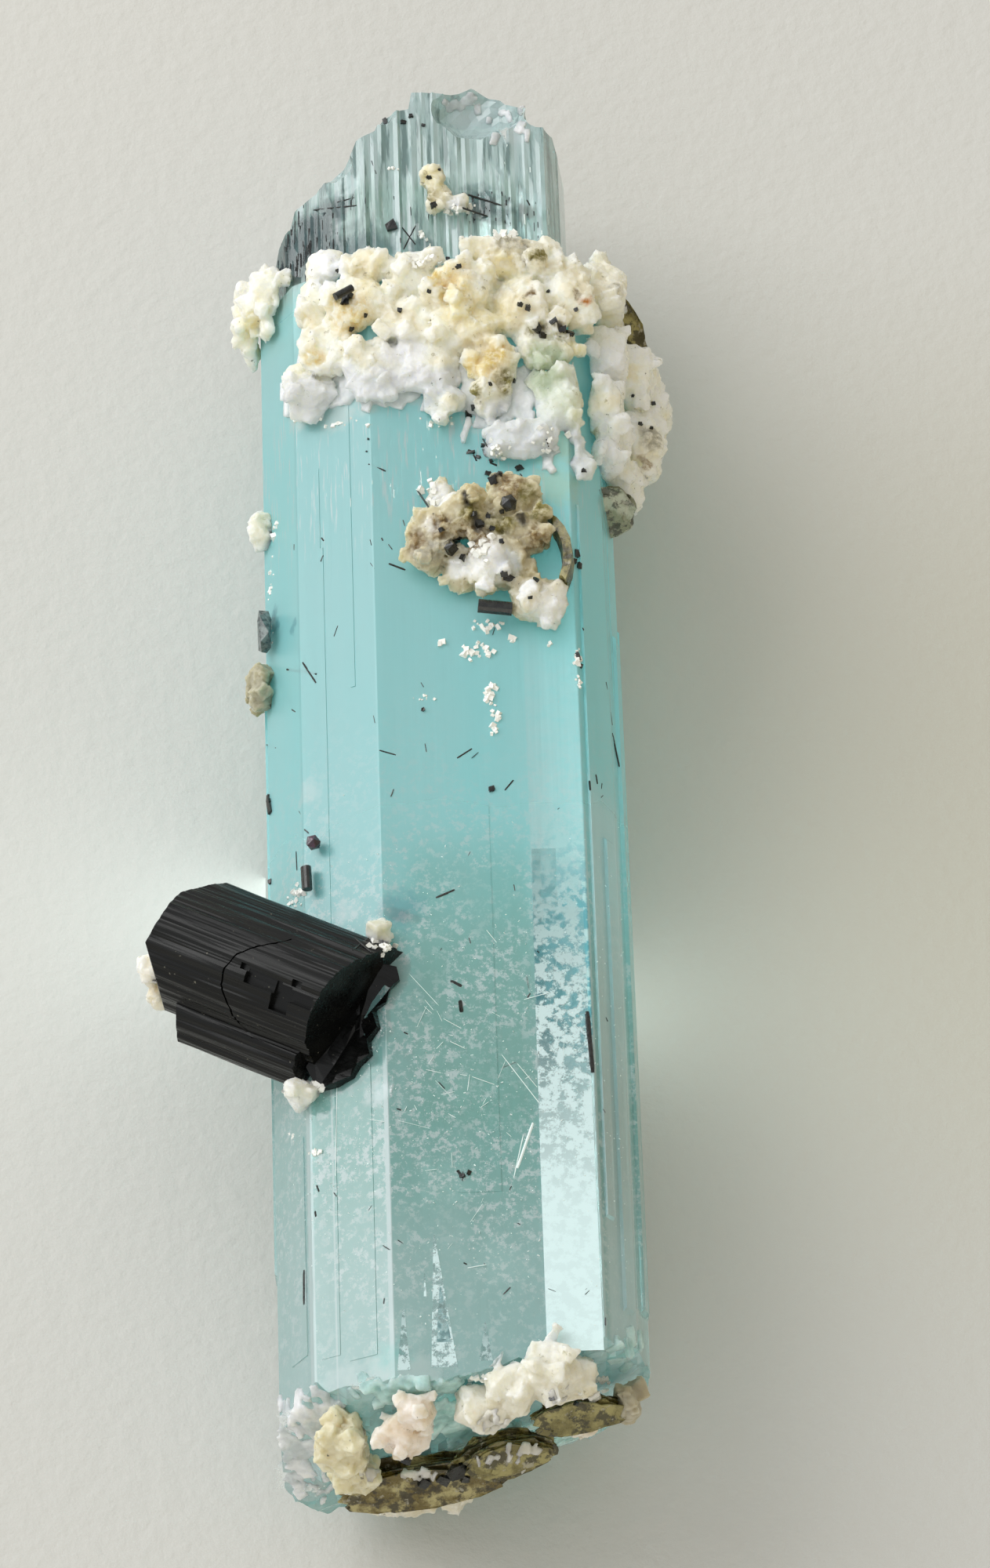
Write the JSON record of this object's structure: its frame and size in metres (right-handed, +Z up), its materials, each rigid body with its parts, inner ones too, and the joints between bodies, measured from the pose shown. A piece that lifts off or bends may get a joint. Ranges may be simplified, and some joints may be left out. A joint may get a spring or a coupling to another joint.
{
  "type": "aquamarine crystal",
  "caption": "Aquamarine prism lying on its side, ringed by albite below an etched head, with a black tourmaline crystal across it and mica on its base.",
  "frame": {"origin": "middle of the bounding box, on the surface that the crystal lies on", "axes": "+Y along the prism from its broken base to its etched head, +X to the right seen from the base, +Z up"},
  "size_m": [0.0312, 0.0842, 0.0211],
  "materials": {
    "beryl": "clear pale turquoise beryl with white veils and fine striations",
    "schorl": "glossy black tourmaline, grooved along its length",
    "albite": "sugary white to cream feldspar with yellow stains and black specks",
    "veil_albite": "milky translucent feldspar with a green tint",
    "satin_albite": "satin white feldspar in fibres",
    "stained_albite": "rough grains stained golden brown",
    "mica": "olive brown mica plates",
    "pale_mica": "grey green mica plate",
    "garnet": "dark purple brown garnet"
  },
  "bodies": {
    "root": {"aquamarine": "beryl", "schorl": "schorl", "albite_band": "albite", "albite_veil": "veil_albite", "albite_knob": "albite", "side_lobe": "satin_albite", "head_lump": "stained_albite", "albite_cluster": "stained_albite", "mica_blade": "mica", "cluster_schorl_prism": "schorl", "cluster_black_grain": "schorl", "base_albite_gold": "stained_albite", "base_albite_pink": "albite", "base_albite_cream": "albite", "base_albite_grey": "albite", "base_albite_small": "albite", "base_albite_rim": "albite", "mica_sliver": "mica", "lobe_plate": "pale_mica", "mica_book_upper": "mica", "mica_book_middle": "mica", "mica_book_lower": "mica", "band_schorl_left": "schorl", "edge_schorl_prism": "schorl", "garnet": "garnet", "edge_plate_grey": "schorl", "edge_albite_chip": "albite", "edge_grain_speckled": "stained_albite", "schorl_albite_left": "albite", "schorl_albite_near": "albite", "schorl_albite_right": "albite"}
  },
  "joints": []
}
